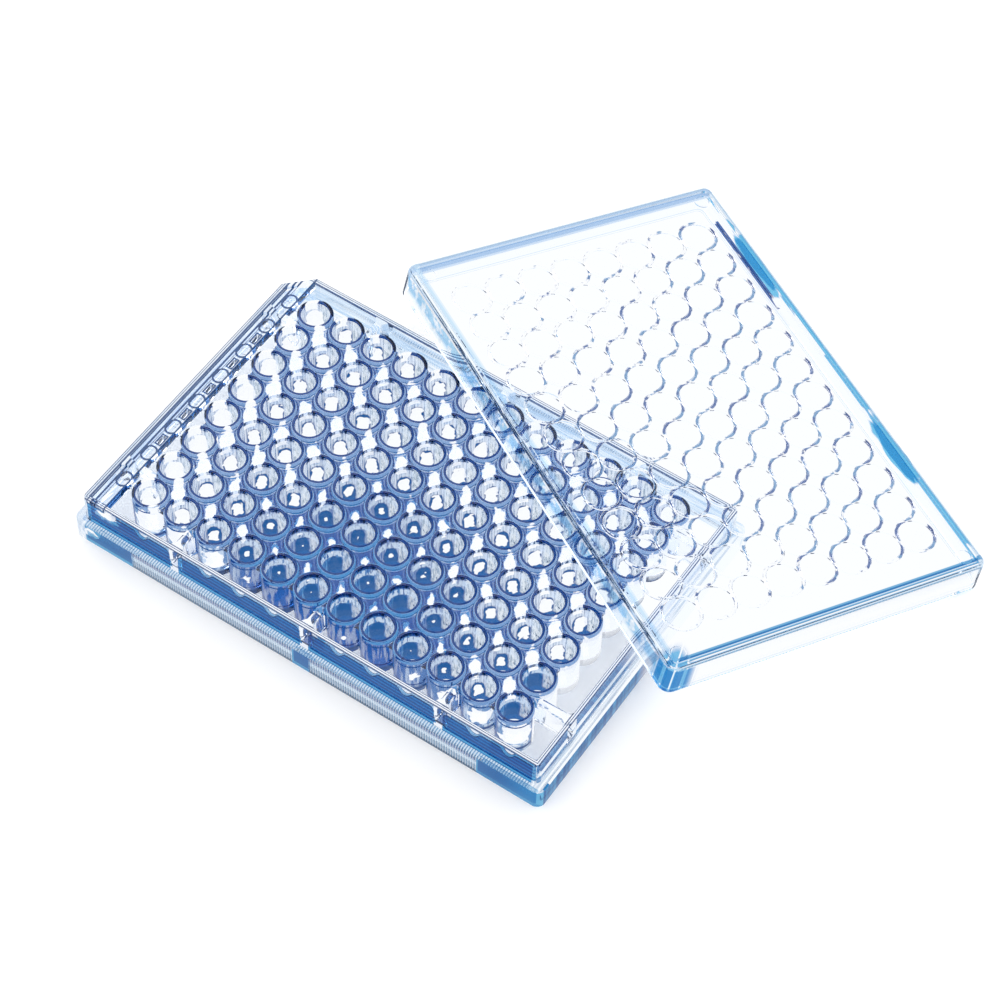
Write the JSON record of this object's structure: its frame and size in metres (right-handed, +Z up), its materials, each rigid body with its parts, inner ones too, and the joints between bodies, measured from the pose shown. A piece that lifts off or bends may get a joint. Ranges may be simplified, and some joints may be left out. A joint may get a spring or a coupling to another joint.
{
  "type": "well plate",
  "caption": "Clear microplate with a grid of tapered flat-bottomed wells in a stepped skirt, and its loose shallow lid leaning across one end.",
  "frame": {"origin": "middle of the plate's footprint, on the table", "axes": "+X along the rows of wells from column 1 to column 12, +Y from row H to row A, +Z up out of the wells"},
  "size_m": [0.1773, 0.1658, 0.0226],
  "materials": {
    "clear_plate": "clear polished polystyrene with a cool blue cast",
    "clear_lid": "clear polished polystyrene with a cool blue cast"
  },
  "bodies": {
    "root": {"plate": "clear_plate", "lid": "clear_lid"}
  },
  "joints": []
}
